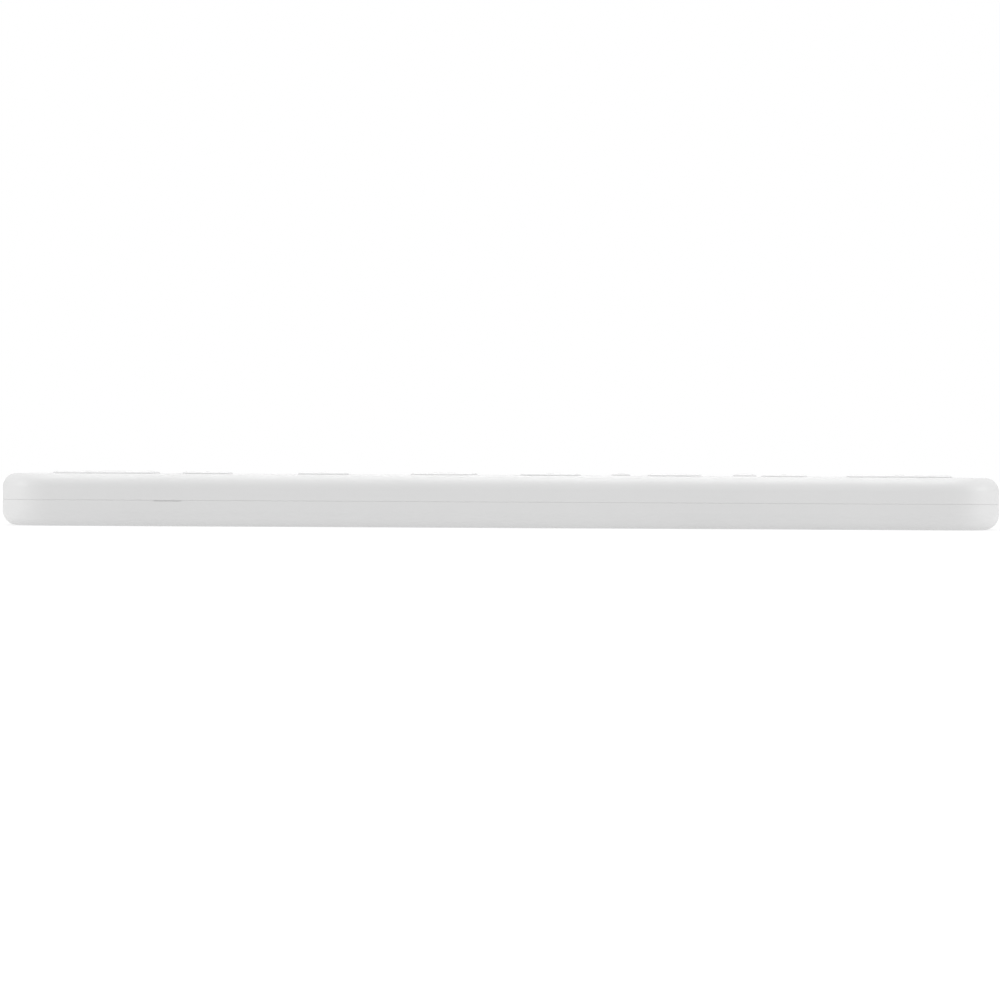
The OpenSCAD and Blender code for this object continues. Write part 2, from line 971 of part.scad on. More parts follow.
// Rocker, with its pin, its flange and the two pegs that press the switches
module volume_rocker() {
    flange = [0.6, rocker_len + 1.8, rocker_h + 1.2];
    flange_x = rocker_pivot_x - 0.7;
    cap_low = -half_w - rocker_proud;
    peg_r = 0.8;
    peg_end = rocker_pivot_x + 1.5;
    color("white") {
        translate([cap_low, rocker_y, rocker_z])
            rotate([0, 90, 0])
                linear_extrude(flange_x + 0.3 - cap_low)
                    rounded_rect(rocker_h, rocker_len, 1.1);
        translate([flange_x, rocker_y - flange[1] / 2, rocker_z - flange[2] / 2])
            cube(flange);
        translate([rocker_pivot_x, rocker_y, rocker_pin_z[0]])
            cylinder(h = rocker_pin_z[1] - rocker_pin_z[0], r = rocker_pin_r);
        for (s = [-1, 1])
            translate([flange_x + 0.3, rocker_y + s * rocker_peg_y, rocker_z])
                rotate([0, 90, 0])
                    cylinder(h = peg_end - flange_x - 0.3, r = peg_r);
    }
}

// Two side-pushed switches on the main board, behind the rocker's pegs
module volume_switches() {
    body = [3.6, 4.4, 1.7];
    push_x = rocker_pivot_x + 1.85;
    body_x = -54 + body[0] / 2;
    color("silver")
        for (s = [-1, 1]) {
            block(body_x, rocker_y + s * rocker_peg_y, board_top, body);
            block((push_x - 53.5) / 2, rocker_y + s * rocker_peg_y, board_top + 0.3, [-53.5 - push_x, 1.8, 0.9]);
        }
}

// ---- fasteners and feet ----

// Screws that hold the two covers together, under the feet
module case_screws() {
    color("dimgray")
        at_case_screws()
            screw(case_seat_z, 7.0, case_screw_r, case_head_r, case_head_t);
}

// Screws that hold the tray to the front cover
module chassis_screws() {
    color("silver")
        at_tabs()
            screw(tray_low, roof_z - 0.5, small_screw_r, small_head_r, small_head_t);
}

// Screws that hold the main board to the tray
module board_screws() {
    color("silver")
        at_standoffs()
            screw(board_low, board_top + 1.7, small_screw_r, small_head_r, small_head_t);
}

// Rubber discs set flush in the back, over the case screws
module rubber_feet() {
    color("gainsboro")
        at_case_screws()
            cylinder(h = foot_t - 0.05, r = foot_r);
}

// ---- keys ----

// A key with a rounded oblong cap
module oblong_key(w, l) {
    color("white") {
        plate(w, l, key_corner, flange_low, case_t + key_proud - flange_low);
        plate(w + 2 * key_flange, l + 2 * key_flange, key_corner + key_flange, flange_low, flange_t);
        key_plunger();
    }
}

// A key with a round cap
module round_key(r) {
    color("white") {
        translate([0, 0, flange_low])
            cylinder(h = case_t + key_proud - flange_low, r = r);
        translate([0, 0, flange_low])
            cylinder(h = flange_t, r = r + key_flange);
        key_plunger();
    }
}

// Pin under a key that presses its dome
module key_plunger() {
    translate([0, 0, plunger_low])
        cylinder(h = flange_low + flange_t / 2 - plunger_low, r = plunger_r);
}

// Key number i of the right column, counted from the top end
module right_key(i) {
    translate([key_x, right_key_at[i], 0])
        oblong_key(key_w, right_key_len[i]);
}

// Key number i of the left column, counted from the top end
module left_key(i) {
    translate([-key_x, left_key_at[i], 0])
        oblong_key(key_w, left_key_len);
}

// Wedge of a ring between two radii, split from its neighbours by a straight gap
module ring_wedge(inner, outer) {
    reach = 2 * outer;
    intersection() {
        difference() {
            circle(outer);
            circle(inner);
        }
        translate([nav_split / sqrt(2), 0])
            polygon([[0, 0], [reach, -reach], [reach, reach]]);
    }
}

// Arrow key of the ring, turned from the right-hand one
module arrow_key(turn) {
    inner_step = 5.2;
    under = flange_top + 0.05;
    color("white")
        translate([0, nav_y, 0])
            rotate(turn) {
                translate([0, 0, under])
                    linear_extrude(case_t + key_proud - under)
                        ring_wedge(nav_inner_r, nav_r);
                translate([0, 0, flange_low])
                    linear_extrude(under + 0.2 - flange_low)
                        ring_wedge(inner_step, nav_r);
                translate([0, 0, flange_low])
                    linear_extrude(flange_t)
                        ring_wedge(inner_step, nav_r + key_flange);
                translate([nav_dome_r, 0, 0])
                    key_plunger();
            }
}

// Round key in the middle of the ring
module select_key() {
    flange_r = 4.7;
    low = flange_low - 0.3;
    color("white")
        translate([0, nav_y, 0]) {
            translate([0, 0, low])
                cylinder(h = case_t + key_proud - low, r = select_r);
            translate([0, 0, low])
                cylinder(h = 0.5, r = flange_r);
            key_plunger();
        }
}

// Oblong key beside the ring
module nav_side(s) {
    translate([s * nav_side_x, nav_y, 0])
        oblong_key(nav_side_key[0], nav_side_key[1]);
}

front_cover();
rear_cover();
display_gasket();
display_film();
display_backplane();
display_flex();
chassis_tray();
main_board();
processor_chip();
memory_chip();
shield_can();
board_components();
board_connectors();
board_links();
battery_pack();
battery_wires();
usb_shell();
usb_tongue();
headphone_jack();
card_cage();
memory_card();
reset_switch();
reset_plunger();
charge_led();
light_pipe();
right_key_board();
left_key_board();
nav_key_board();
snap_domes();
power_board();
power_switch();
power_switch_lever();
power_slider();
power_flex();
volume_rocker();
volume_switches();
case_screws();
chassis_screws();
board_screws();
rubber_feet();
right_key(0);  // page_back_key
right_key(7);  // page_forward_key
right_key(1);  // soft_key_1
right_key(2);  // soft_key_2
right_key(3);  // soft_key_3
right_key(4);  // soft_key_4
right_key(5);  // soft_key_5
right_key(6);  // soft_key_6
left_key(0);  // left_page_back_key
left_key(1);  // left_page_forward_key
translate([-key_x, sleep_button_y, 0]) round_key(sleep_button_r);  // sleep_button
translate([-key_x, text_button_y, 0]) round_key(text_button_r);  // text_size_button
arrow_key(90);  // nav_up_key
arrow_key(270);  // nav_down_key
arrow_key(180);  // nav_left_key
arrow_key(0);  // nav_right_key
select_key();
nav_side(-1);  // menu_key
nav_side(1);  // back_key
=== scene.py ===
"""Looks of a six-inch electronic-paper reader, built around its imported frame.

Each sub-assembly is a class that dresses its frame nodes and adds the detailed pieces that stand for them.
Lengths are millimetres in the dataclass fields and metres in the meshes.
"""

from __future__ import annotations

import logging
import math
from collections.abc import Iterable, Sequence
from dataclasses import dataclass, field
from enum import Enum
from typing import Any

import bpy
from mathutils import Matrix, Vector


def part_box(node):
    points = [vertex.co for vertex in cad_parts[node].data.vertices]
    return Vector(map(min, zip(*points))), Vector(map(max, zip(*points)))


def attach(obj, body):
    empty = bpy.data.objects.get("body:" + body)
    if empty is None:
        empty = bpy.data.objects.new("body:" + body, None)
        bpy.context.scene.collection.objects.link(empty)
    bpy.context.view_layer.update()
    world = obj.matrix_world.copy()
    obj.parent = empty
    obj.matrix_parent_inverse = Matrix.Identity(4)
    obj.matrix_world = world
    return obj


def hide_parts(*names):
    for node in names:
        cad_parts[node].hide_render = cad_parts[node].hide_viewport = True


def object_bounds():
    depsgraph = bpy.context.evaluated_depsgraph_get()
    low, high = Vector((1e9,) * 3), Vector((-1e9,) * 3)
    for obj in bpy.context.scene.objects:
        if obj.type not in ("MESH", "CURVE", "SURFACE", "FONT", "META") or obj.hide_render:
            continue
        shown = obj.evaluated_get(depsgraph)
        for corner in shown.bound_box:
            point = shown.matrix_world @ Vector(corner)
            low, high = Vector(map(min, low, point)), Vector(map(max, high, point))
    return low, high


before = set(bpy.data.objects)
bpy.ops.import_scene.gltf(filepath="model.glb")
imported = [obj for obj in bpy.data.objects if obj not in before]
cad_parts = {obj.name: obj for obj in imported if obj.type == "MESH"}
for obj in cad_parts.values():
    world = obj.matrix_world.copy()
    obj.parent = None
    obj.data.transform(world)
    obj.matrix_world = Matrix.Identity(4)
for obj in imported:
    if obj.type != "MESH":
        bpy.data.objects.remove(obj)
CAD_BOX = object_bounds()

MM = 0.001
WELD_REACH = 1e-6
LOG = logging.getLogger("reader")
Point = tuple[float, float]
Ring = tuple[float, float]
Point3 = tuple[float, float, float]


# ---------------------------------------------------------------- colour and node helpers


def linear(hex_colour: str) -> tuple[float, float, float, float]:
    """Turns an sRGB hex colour into linear light.

    Args:
        hex_colour: Six hex digits, such as "e8e8ea".

    Returns:
        Red, green, blue and an alpha of 1.
    """
    channels = [int(hex_colour[i : i + 2], 16) / 255 for i in (0, 2, 4)]
    light = [c / 12.92 if c <= 0.04045 else ((c + 0.055) / 1.055) ** 2.4 for c in channels]
    return (light[0], light[1], light[2], 1.0)


def add_node(
    tree: bpy.types.NodeTree,
    kind: str,
    inputs: dict[Any, Any] | None = None,
    **settings: Any,
) -> Any:
    """Adds a node with its settings and its links.

    Args:
        tree: The node tree that gets the node.
        kind: The node's type name.
        inputs: Input name or number to a constant, or to the socket that feeds it.
        settings: The node's own settings.

    Returns:
        The new node.
    """
    node = tree.nodes.new(kind)
    for key, value in settings.items():
        setattr(node, key, value)
    for key, value in (inputs or {}).items():
        if isinstance(value, bpy.types.NodeSocket):
            tree.links.new(value, node.inputs[key])
        else:
            node.inputs[key].default_value = value
    return node


# ---------------------------------------------------------------- finishes


@dataclass(frozen=True)
class Finish:
    """What every finish has: a name, a colour and the shader's plain numbers."""

    name: str
    colour: str
    roughness: float
    ior: float = 1.5
    metallic: float = 0.0

    def build(self) -> bpy.types.Material:
        """Makes the material once, and gives the same one afterwards.

        Returns:
            The finish's material.
        """
        made = bpy.data.materials.get(self.name)
        if made is not None:
            return made
        material = bpy.data.materials.new(self.name)
        material.use_nodes = True
        tree = material.node_tree
        tree.nodes.clear()
        place = add_node(tree, "ShaderNodeTexCoord").outputs["Object"]
        shader = add_node(
            tree,
            "ShaderNodeBsdfPrincipled",
            {
                "Base Color": linear(self.colour),
                "Roughness": self.roughness,
                "Metallic": self.metallic,
                "IOR": self.ior,
            },
        )
        self.detail(tree, place, shader)
        add_node(tree, "ShaderNodeOutputMaterial", {"Surface": shader.outputs[0]})
        material.diffuse_color = linear(self.colour)
        return material

    def detail(self, tree: bpy.types.NodeTree, place: Any, shader: Any) -> None:
        """Adds the finish's own texture to the shader; a plain finish adds none."""

    def lay(
        self,
        tree: bpy.types.NodeTree,
        shader: Any,
        second: tuple[Any, str] | None = None,
        relief: tuple[Any, float, float] | None = None,
    ) -> None:
        """Feeds the finish's patterns to the shader.

        Args:
            tree: The material's node tree.
            shader: The principled shader.
            second: The pattern that mixes a second colour in, and that colour.
            relief: The pattern that lifts the surface, its height in millimetres and its strength.
        """
        if second:
            share, colour = second
            colours = {"Factor": share, "A": linear(self.colour), "B": linear(colour)}
            mixed = add_node(tree, "ShaderNodeMix", colours, data_type="RGBA")
            tree.links.new(mixed.outputs["Result"], shader.inputs["Base Color"])
        if relief:
            pattern, height, strength = relief
            lifted = {"Strength": strength, "Distance": height * MM, "Height": pattern}
            tree.links.new(add_node(tree, "ShaderNodeBump", lifted).outputs[0], shader.inputs["Normal"])


@dataclass(frozen=True)
class MouldedPlastic(Finish):
    """Injection-moulded plastic with the fine grain of a spark-eroded mould and some handling."""

    grain_mm: float = 0.3
    grain_depth_mm: float = 0.006
    cloud_mm: float = 26.0
    scuff_mm: float = 3.8
    shade: str = "d8d8da"
    scuffs: float = 0.25

    def detail(self, tree: bpy.types.NodeTree, place: Any, shader: Any) -> None:
        """Adds grain, cloudy handling marks and fine scuffs.

        Args:
            tree: The material's node tree.
            place: Object coordinates, in metres.
            shader: The principled shader.
        """
        grain = add_node(
            tree,
            "ShaderNodeTexNoise",
            {"Vector": place, "Scale": 1 / (self.grain_mm * MM), "Detail": 3.0, "Roughness": 0.55},
        )
        cloud = add_node(
            tree,
            "ShaderNodeTexNoise",
            {"Vector": place, "Scale": 1 / (self.cloud_mm * MM), "Detail": 5.0, "Roughness": 0.6},
        )
        stretched = add_node(tree, "ShaderNodeMapping", {"Vector": place, "Scale": (1.0, 7.0, 1.0)})
        scuff = add_node(
            tree,
            "ShaderNodeTexNoise",
            {
                "Vector": stretched.outputs[0],
                "Scale": 1 / (self.scuff_mm * MM),
                "Detail": 6.0,
                "Roughness": 0.75,
            },
        )
        scuff_mask = add_node(
            tree,
            "ShaderNodeMapRange",
            {
                "Value": scuff.outputs[0],
                "From Min": 0.6,
                "From Max": 0.74,
                "To Min": 0.0,
                "To Max": self.scuffs,
            },
        )
        tone = add_node(
            tree,
            "ShaderNodeMapRange",
            {"Value": cloud.outputs[0], "From Min": 0.35, "From Max": 0.75, "To Min": 0.0, "To Max": 0.35},
        )
        handled = add_node(
            tree,
            "ShaderNodeMapRange",
            {
                "Value": cloud.outputs[0],
                "From Min": 0.3,
                "From Max": 0.7,
                "To Min": self.roughness * 0.9,
                "To Max": self.roughness * 1.12,
            },
        )
        rough = add_node(
            tree,
            "ShaderNodeMath",
            {0: handled.outputs[0], 1: scuff_mask.outputs[0]},
            operation="ADD",
            use_clamp=True,
        )
        tree.links.new(rough.outputs[0], shader.inputs["Roughness"])
        self.lay(tree, shader, (tone.outputs[0], self.shade), (grain.outputs[0], self.grain_depth_mm, 0.6))


@dataclass(frozen=True)
class PressedMetal(Finish):
    """Rolled or pressed metal, with rolling lines along one axis and dull patches."""

    metallic: float = 1.0
    line_mm: float = 0.25
    line_depth_mm: float = 0.002
    patch_mm: float = 5.5
    along: Point3 = (0.04, 1.0, 1.0)
    dull: str = "9c9ea1"

    def detail(self, tree: bpy.types.NodeTree, place: Any, shader: Any) -> None:
        """Adds rolling lines, patches of tone and a roughness that follows them.

        Args:
            tree: The material's node tree.
            place: Object coordinates, in metres.
            shader: The principled shader.
        """
        stretched = add_node(tree, "ShaderNodeMapping", {"Vector": place, "Scale": self.along})
        lines = add_node(
            tree,
            "ShaderNodeTexNoise",
            {
                "Vector": stretched.outputs[0],
                "Scale": 1 / (self.line_mm * MM),
                "Detail": 2.0,
                "Roughness": 0.6,
            },
        )
        patch = add_node(
            tree,
            "ShaderNodeTexNoise",
            {"Vector": place, "Scale": 1 / (self.patch_mm * MM), "Detail": 4.0},
        )
        rough = add_node(
            tree,
            "ShaderNodeMapRange",
            {
                "Value": lines.outputs[0],
                "From Min": 0.3,
                "From Max": 0.7,
                "To Min": self.roughness * 0.8,
                "To Max": self.roughness * 1.3,
            },
        )
        tree.links.new(rough.outputs[0], shader.inputs["Roughness"])
        self.lay(tree, shader, (patch.outputs[0], self.dull), (lines.outputs[0], self.line_depth_mm, 0.5))


@dataclass(frozen=True)
class PaperFilm(Finish):
    """Electronic-paper laminate: pale grains under an anti-glare sheet."""

    capsule_mm: float = 0.22
    grain_depth_mm: float = 0.004
    ghost_mm: float = 22.0
    speck: str = "a9aca7"
    margin: str = "c9cbc7"
    active_mm: tuple[float, float] = (90.6, 122.4)
    centre_mm: tuple[float, float] = (0.0, 8.8)

    def detail(self, tree: bpy.types.NodeTree, place: Any, shader: Any) -> None:
        """Adds the grain of the capsules, a faint ghost of old pages, and the lighter border.

        Args:
            tree: The material's node tree.
            place: Object coordinates, in metres.
            shader: The principled shader.
        """
        grain = add_node(
            tree,
            "ShaderNodeTexVoronoi",
            {"Vector": place, "Scale": 1 / (self.capsule_mm * MM)},
        )
        ghost = add_node(
            tree,
            "ShaderNodeTexNoise",
            {"Vector": place, "Scale": 1 / (self.ghost_mm * MM), "Detail": 6.0, "Roughness": 0.65},
        )
        weight = add_node(
            tree,
            "ShaderNodeMath",
            {0: grain.outputs["Distance"], 1: ghost.outputs[0]},
            operation="MULTIPLY",
        )
        sheet = add_node(
            tree,
            "ShaderNodeMix",
            {"Factor": weight.outputs[0], "A": linear(self.colour), "B": linear(self.speck)},
            data_type="RGBA",
        )
        parts = add_node(tree, "ShaderNodeSeparateXYZ", {"Vector": place})
        inside = []
        for axis in (0, 1):
            shift = add_node(
                tree,
                "ShaderNodeMath",
                {0: parts.outputs[axis], 1: self.centre_mm[axis] * MM},
                operation="SUBTRACT",
            )
            size = add_node(tree, "ShaderNodeMath", {0: shift.outputs[0]}, operation="ABSOLUTE")
            inside.append(
                add_node(
                    tree,
                    "ShaderNodeMath",
                    {0: size.outputs[0], 1: self.active_mm[axis] / 2 * MM},
                    operation="LESS_THAN",
                )
            )
        active = add_node(
            tree,
            "ShaderNodeMath",
            {0: inside[0].outputs[0], 1: inside[1].outputs[0]},
            operation="MULTIPLY",
        )
        whole = add_node(
            tree,
            "ShaderNodeMix",
            {"Factor": active.outputs[0], "A": linear(self.margin), "B": sheet.outputs["Result"]},
            data_type="RGBA",
        )
        tree.links.new(whole.outputs["Result"], shader.inputs["Base Color"])
        self.lay(tree, shader, relief=(grain.outputs["Distance"], self.grain_depth_mm, 0.35))


@dataclass(frozen=True)
class SolderMask(Finish):
    """Green lacquer over the copper tracks of a circuit board."""

    track: str = "1c6a3c"
    track_depth_mm: float = 0.03
    pitch_mm: float = 0.8

    def detail(self, tree: bpy.types.NodeTree, place: Any, shader: Any) -> None:
        """Adds raised tracks, lighter where copper lies under the lacquer.

        Args:
            tree: The material's node tree.
            place: Object coordinates, in metres.
            shader: The principled shader.
        """
        tracks = add_node(
            tree,
            "ShaderNodeTexBrick",
            {
                "Vector": place,
                "Scale": 1 / (self.pitch_mm * 6 * MM),
                "Mortar Size": 0.03,
                "Color1": (1, 1, 1, 1),
                "Color2": (0.6, 0.6, 0.6, 1),
                "Mortar": (0, 0, 0, 1),
            },
        )
        pattern = tracks.outputs["Fac"]
        self.lay(tree, shader, (pattern, self.track), (pattern, self.track_depth_mm, 0.5))


@dataclass(frozen=True)
class Ribbon(Finish):
    """Amber polyimide ribbon over parallel copper conductors."""

    copper: str = "8c4a18"
    stripe_depth_mm: float = 0.02
    pitch_mm: float = 0.9

    def detail(self, tree: bpy.types.NodeTree, place: Any, shader: Any) -> None:
        """Adds stripes where the conductors show through.

        Args:
            tree: The material's node tree.
            place: Object coordinates, in metres.
            shader: The principled shader.
        """
        stripes = add_node(
            tree,
            "ShaderNodeTexWave",
            {"Vector": place, "Scale": 1 / (self.pitch_mm * MM) / 20, "Distortion": 0.0},
            wave_type="BANDS",
            bands_direction="X",
        )
        pattern = stripes.outputs["Fac"]
        self.lay(tree, shader, (pattern, self.copper), (pattern, self.stripe_depth_mm, 0.4))


@dataclass(frozen=True)
class CreasedFoil(Finish):
    """Aluminium-laminate pouch, drawn over the cell with shallow creases."""

    crease_mm: float = 7.0
    crease_depth_mm: float = 0.15
    film_mm: float = 3.3

    def detail(self, tree: bpy.types.NodeTree, place: Any, shader: Any) -> None:
        """Adds creases and a dulled film.

        Args:
            tree: The material's node tree.
            place: Object coordinates, in metres.
            shader: The principled shader.
        """
        crease = add_node(
            tree,
            "ShaderNodeTexVoronoi",
            {"Vector": place, "Scale": 1 / (self.crease_mm * MM)},
            feature="DISTANCE_TO_EDGE",
        )
        film = add_node(
            tree,
            "ShaderNodeTexNoise",
            {"Vector": place, "Scale": 1 / (self.film_mm * MM), "Detail": 4.0},
        )
        rough = add_node(
            tree,
            "ShaderNodeMapRange",
            {"Value": film.outputs[0], "To Min": self.roughness * 0.7, "To Max": self.roughness * 1.4},
        )
        tree.links.new(rough.outputs[0], shader.inputs["Roughness"])
        self.lay(tree, shader, relief=(crease.outputs["Distance"], self.crease_depth_mm, 0.25))


@dataclass(frozen=True)
class ClosedCell(Finish):
    """Foam or rubber with pores or a matt skin."""

    pore_mm: float = 0.35
    pore_depth_mm: float = 0.03

    def detail(self, tree: bpy.types.NodeTree, place: Any, shader: Any) -> None:
        """Adds pores, with painted shade that darkens each pit and lightens its rim.

        Args:
            tree: The material's node tree.
            place: Object coordinates, in metres.
            shader: The principled shader.
        """
        pores = add_node(
            tree,
            "ShaderNodeTexVoronoi",
            {"Vector": place, "Scale": 1 / (self.pore_mm * MM)},
        )
        # Painted shade: the pore pattern darkens the base colour in each pit and lightens it on the rim,
        # following the bump's depth.
        pore_shade = add_node(
            tree,
            "ShaderNodeMapRange",
            {"Value": pores.outputs["Distance"], "To Min": 0.8, "To Max": 1.1},
        )
        tone = add_node(
            tree,
            "ShaderNodeMix",
            {"Factor": 1.0, "A": linear(self.colour), "B": pore_shade.outputs[0]},
            data_type="RGBA",
            blend_type="MULTIPLY",
        )
        tree.links.new(tone.outputs["Result"], shader.inputs["Base Color"])
        self.lay(tree, shader, relief=(pores.outputs["Distance"], self.pore_depth_mm, 0.5))


@dataclass(frozen=True)
class ClearMoulding(Finish):
    """Clear or tinted glassy material that passes light."""

    passes: float = 0.9
    flow_mm: float = 2.5

    def detail(self, tree: bpy.types.NodeTree, place: Any, shader: Any) -> None:
        """Sets transmission and adds a faint flow texture to the roughness.

        Args:
            tree: The material's node tree.
            place: Object coordinates, in metres.
            shader: The principled shader.
        """
        shader.inputs["Transmission Weight"].default_value = self.passes
        flow = add_node(
            tree,
            "ShaderNodeTexNoise",
            {"Vector": place, "Scale": 1 / (self.flow_mm * MM), "Detail": 2.0},
        )
        rough = add_node(
            tree,
            "ShaderNodeMapRange",
            {"Value": flow.outputs[0], "To Min": self.roughness * 0.7, "To Max": self.roughness * 1.3},
        )
        tree.links.new(rough.outputs[0], shader.inputs["Roughness"])


# ABS, moulded in a spark-eroded tool: white with a satin grain that breaks up every highlight.
WHITE_SHELL = MouldedPlastic("white_abs_shell", "dbdbdb", 0.46, ior=1.53, shade="d3d3d3")
# ABS with a finer polish than the shell, so the keys look a little smoother and cleaner.
WHITE_KEY = MouldedPlastic(
    "white_abs_key",
    "dedede",
    0.36,
    ior=1.53,
    shade="d6d6d6",
    grain_mm=0.22,
    grain_depth_mm=0.003,
    scuffs=0.15,
)
# The same ABS coloured grey for the slider, which sees the most thumb wear.
GREY_SLIDER = MouldedPlastic("grey_abs_slider", "a9abaf", 0.42, ior=1.53, shade="96989c", scuffs=0.4)
# Pad-printed ink on the keys: flat, slightly matt, and with small breaks in its cover.
KEY_PRINT = MouldedPlastic(
    "key_print_ink",
    "6f7378",
    0.55,
    grain_mm=0.12,
    grain_depth_mm=0.002,
    shade="80848a",
)
# Electronic-paper laminate: a warm light grey, matt, with a fine sand-like grain.
# The capsules are 0.05 mm in life, too fine to show, so they are drawn four times as coarse.
PAPER = PaperFilm("electronic_paper", "c8c8c3", 0.58)
# Polyethylene foam tape, charcoal, with open-looking pores on its cut edge.
FOAM = ClosedCell("foam_tape", "3b3b3d", 0.9, pore_mm=0.4)
# Silicone rubber, die cut: pale grey, matt, nearly no highlight.
FOOT_RUBBER = ClosedCell("silicone_foot", "c4c5c7", 0.78, ior=1.42, pore_mm=0.5, pore_depth_mm=0.01)
# Thin glass with a metal-oxide layer behind it: dark, cool and glossy.
PANEL_GLASS = ClearMoulding("panel_glass", "7f8b8c", 0.08, ior=1.52, passes=0.35)
# Polycarbonate light pipe: clear and bright at its polished ends.
LIGHT_PIPE = ClearMoulding("polycarbonate_light_pipe", "f2f5f6", 0.06, ior=1.585, passes=0.95)
# Thixomoulded magnesium, chromated: a dull, slightly warm grey with flow marks.
MAGNESIUM = PressedMetal("chromated_magnesium", "b9b8b3", 0.48, line_mm=0.6, dull="9d9c96")
# Tin-plated steel sheet: bright, with faint rolling lines.
TIN_STEEL = PressedMetal("tin_plated_steel", "c9cacc", 0.28)
# Nickel-plated steel machine screws: bright and a little yellow.
NICKEL_STEEL = PressedMetal("nickel_plated_screw", "c8c4ba", 0.25, line_mm=0.12)
# Black-zinc steel screws: dark, with a soft metallic sheen.
BLACK_ZINC = PressedMetal("black_zinc_screw", "2b2c2e", 0.42, line_mm=0.12, dull="3a3a3c")
# Nickel-plated stainless domes: mirror-like, where light pools on the crown.
SPRING_STEEL = PressedMetal("stainless_dome", "d6d3c8", 0.18, line_mm=0.15)
# Hard gold over nickel on the socket's contacts: warm and bright, with fine wear along the stroke.
HARD_GOLD = PressedMetal(
    "hard_gold_contact",
    "e0b45c",
    0.22,
    line_mm=0.08,
    along=(1.0, 0.04, 1.0),
    dull="c8a058",
)
# Coated label paper, left blank: white, nearly matt, with the faint cloud of its fibres.
LABEL_PAPER = MouldedPlastic(
    "label_paper",
    "d9d7d0",
    0.6,
    grain_mm=0.5,
    grain_depth_mm=0.004,
    shade="cecbc2",
    cloud_mm=4.0,
)
# Epoxy glass board under green lacquer: satin, with tracks that show as relief.
BOARD = SolderMask("green_solder_mask", "0f4a2a", 0.35, ior=1.52)
# Polyimide ribbon: amber, satin, with copper stripes under it.
RIBBON = Ribbon("polyimide_ribbon", "c07a2c", 0.32, ior=1.7)
# Black epoxy, transfer moulded: charcoal with a fine sand-blast grain.
BLACK_EPOXY = MouldedPlastic("black_epoxy", "1c1c1e", 0.5, grain_mm=0.18, shade="262628", cloud_mm=6.0)
# Black nylon of the sockets: darker and smoother than the chips.
BLACK_NYLON = MouldedPlastic("black_nylon", "141416", 0.38, grain_mm=0.15, shade="1d1d20", cloud_mm=8.0)
# Glass-filled nylon of the connectors: ivory, with a dry surface.
IVORY_NYLON = MouldedPlastic("ivory_nylon", "d9cfb6", 0.55, grain_mm=0.15, shade="cbc0a4", cloud_mm=5.0)
# Black card body: fine satin moulding.
CARD_BLACK = MouldedPlastic("card_black", "17181b", 0.34, grain_mm=0.16, shade="212227", cloud_mm=7.0)
# Fired ferrite and ceramic: grey-brown and chalky.
CERAMIC = MouldedPlastic(
    "fired_ceramic",
    "5e544b",
    0.62,
    grain_mm=0.14,
    shade="72675c",
    cloud_mm=2.0,
    scuffs=0.1,
)
# Aluminium-laminate pouch of the cell: silver with soft creases.
POUCH = CreasedFoil("laminate_pouch", "c2c4c6", 0.34, metallic=0.85)
# PVC insulation of the battery leads: red with an oily sheen.
RED_PVC = MouldedPlastic(
    "red_pvc_lead",
    "a3201c",
    0.32,
    grain_mm=0.4,
    shade="8c1a16",
    cloud_mm=3.0,
    scuffs=0.1,
)


# ---------------------------------------------------------------- mesh helpers


def edge_normals(outline: Sequence[Point]) -> list[Point]:
    """Finds the outward direction at each point of a closed outline.

    Args:
        outline: Points in anticlockwise order.

    Returns:
        One vector per point, lengthened at corners so that an inset keeps its width.
    """
    normals = []
    count = len(outline)
    for i, here in enumerate(outline):
        before = Vector(here) - Vector(outline[i - 1])
        after = Vector(outline[(i + 1) % count]) - Vector(here)
        one = Vector((before.y, -before.x)).normalized()
        two = Vector((after.y, -after.x)).normalized()
        both = (one + two).normalized()
        stretch = 1 / max(0.5, both.dot(one))
        normals.append((both.x * stretch, both.y * stretch))
    return normals


def oblong_outline(width: float, length: float, radius: float, steps: int = 8) -> list[Point]:
    """Gives a rectangle with round corners.

    Args:
        width: Size across X.
        length: Size along Y.
        radius: Corner radius.
        steps: Points on each corner, less one.

    Returns:
        Points in anticlockwise order, starting at the lower right corner.
    """
    points = []
    for corner, (sx, sy) in enumerate(((1, -1), (1, 1), (-1, 1), (-1, -1))):
        for step in range(steps + 1):
            turn = math.radians(-90 + 90 * corner + 90 * step / steps)
            x = sx * (width / 2 - radius) + radius * math.cos(turn)
            y = sy * (length / 2 - radius) + radius * math.sin(turn)
            points.append((x, y))
    return points


def round_outline(radius: float, steps: int = 48) -> list[Point]:
    """Gives a circle as points in anticlockwise order."""
    turns = [2 * math.pi * i / steps for i in range(steps)]
    return [(radius * math.cos(t), radius * math.sin(t)) for t in turns]


def eased_corner(start: Point, corner: Point, end: Point, steps: int = 6) -> list[Point]:
    """Rounds one corner with a parabola.

    Args:
        start: Where the curve leaves the first side.
        corner: The sharp corner.
        end: Where the curve meets the second side.
        steps: Number of pieces in the curve.

    Returns:
        The curve's points, both ends included.
    """
    points = []
    for step in range(steps + 1):
        t = step / steps
        weights = ((1 - t) ** 2, 2 * t * (1 - t), t * t)
        x = sum(w * p[0] for w, p in zip(weights, (start, corner, end)))
        y = sum(w * p[1] for w, p in zip(weights, (start, corner, end)))
        points.append((x, y))
    return points


